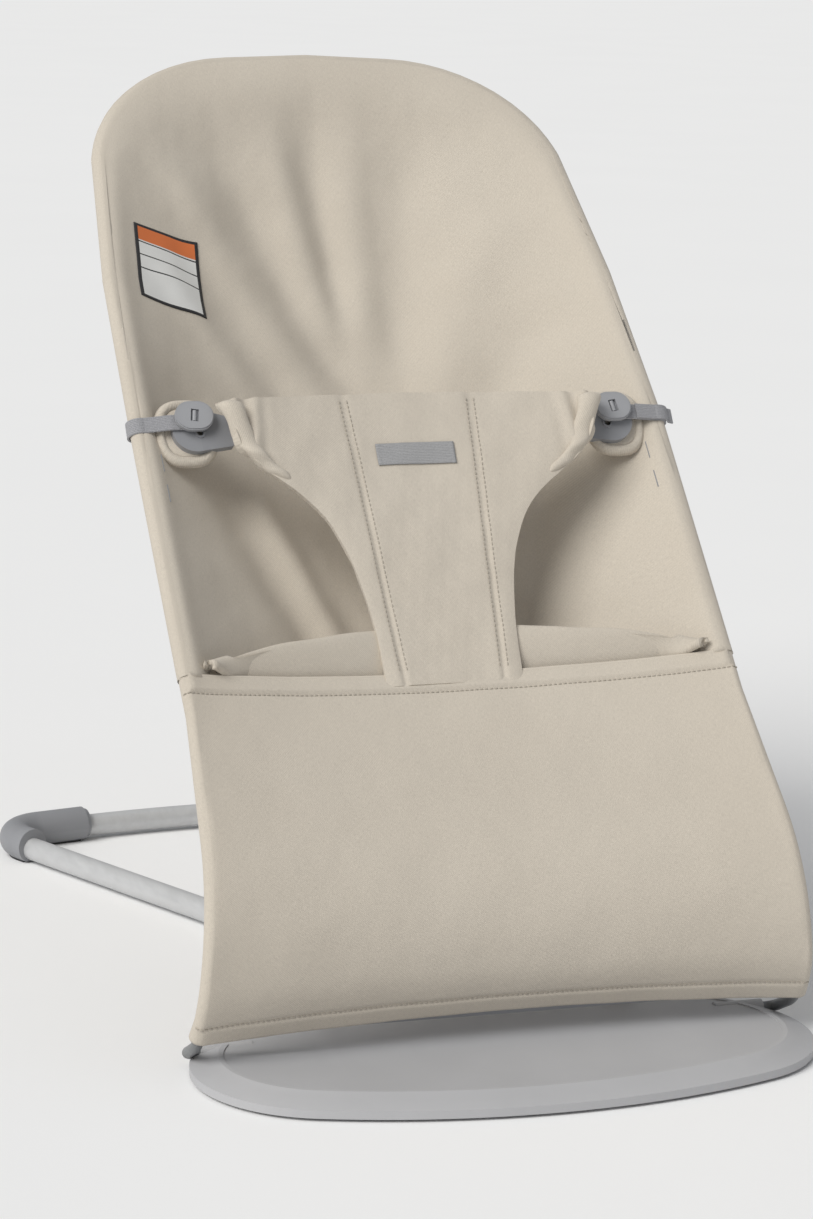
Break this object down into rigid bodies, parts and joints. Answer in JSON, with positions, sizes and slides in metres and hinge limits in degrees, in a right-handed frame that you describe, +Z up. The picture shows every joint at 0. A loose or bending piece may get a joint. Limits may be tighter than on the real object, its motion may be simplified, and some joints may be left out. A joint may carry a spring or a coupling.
{
  "type": "infant bouncer seat",
  "caption": "Fabric infant bouncer slung on a spring wire frame that reclines on an oval foot plate, with a tube base, a hinged support bow and a buttoned restraint bib.",
  "frame": {"origin": "middle of the non-slip pad's underside, below the oval foot plate, on the floor", "axes": "+X to the right as seen from the front, +Y back towards the rear cross tube, +Z up"},
  "size_m": [0.4064, 0.6705, 0.571],
  "materials": {
    "plate": "fine matt grain",
    "pad": "matt",
    "screw": "plain zinc",
    "tube": "satin silver grey",
    "moulding": "satin",
    "wire": "satin grey",
    "cloth": "fine beige twill",
    "clip": "satin",
    "button": "matt",
    "webbing": "heathered grey weave",
    "label": "smooth printed tape"
  },
  "bodies": {
    "base": {"base_plate": "plate", "plate_underside_cover": "plate", "anti_slip_pad": "pad", "cover_screws": "screw", "left_base_tube": "tube", "right_base_tube": "tube", "rear_cross_tube": "tube", "left_elbow": "moulding", "right_elbow": "moulding", "rubber_feet": "pad", "elbow_screws": "screw", "left_bow_bracket": "moulding", "right_bow_bracket": "moulding"},
    "bow": {"support_bow": "wire"},
    "seat": {"left_side_wire": "wire", "right_side_wire": "wire", "top_arch_wire": "wire", "left_position_rack": "moulding", "right_position_rack": "moulding", "lower_hem_strip": "moulding", "front_panel": "cloth", "seat_pouch": "cloth", "backrest_sling": "cloth", "restraint_bib": "cloth", "left_padded_tab": "cloth", "right_padded_tab": "cloth", "left_keyhole_plate": "clip", "right_keyhole_plate": "clip", "left_elastic_strap": "webbing", "right_elastic_strap": "webbing", "side_label": "label", "bib_tag": "webbing"},
    "left_button_body": {"left_button": "button"},
    "right_button_body": {"right_button": "button"}
  },
  "joints": [
    {"name": "seat_recline", "type": "hinge", "parent": "base", "child": "seat", "pos_m": [0, 0.036, 0.008], "axis": [-1, 0, 0], "range_deg": [0, 44]},
    {"name": "support_bow_pivot", "type": "hinge", "parent": "base", "child": "bow", "pos_m": [0, 0.205, 0.0225], "axis": [-1, 0, 0], "range_deg": [0, 79.2]},
    {"name": "left_button_slide", "type": "slide", "parent": "seat", "child": "left_button_body", "axis": [0.3584, -0.5221, -0.774], "range_m": [0, 0.01]},
    {"name": "right_button_slide", "type": "slide", "parent": "seat", "child": "right_button_body", "axis": [-0.3584, -0.5221, -0.774], "range_m": [0, 0.01]}
  ],
  "couplings": [
    {"joint": "support_bow_pivot", "follows": "seat_recline", "ratio": 1.8}
  ]
}
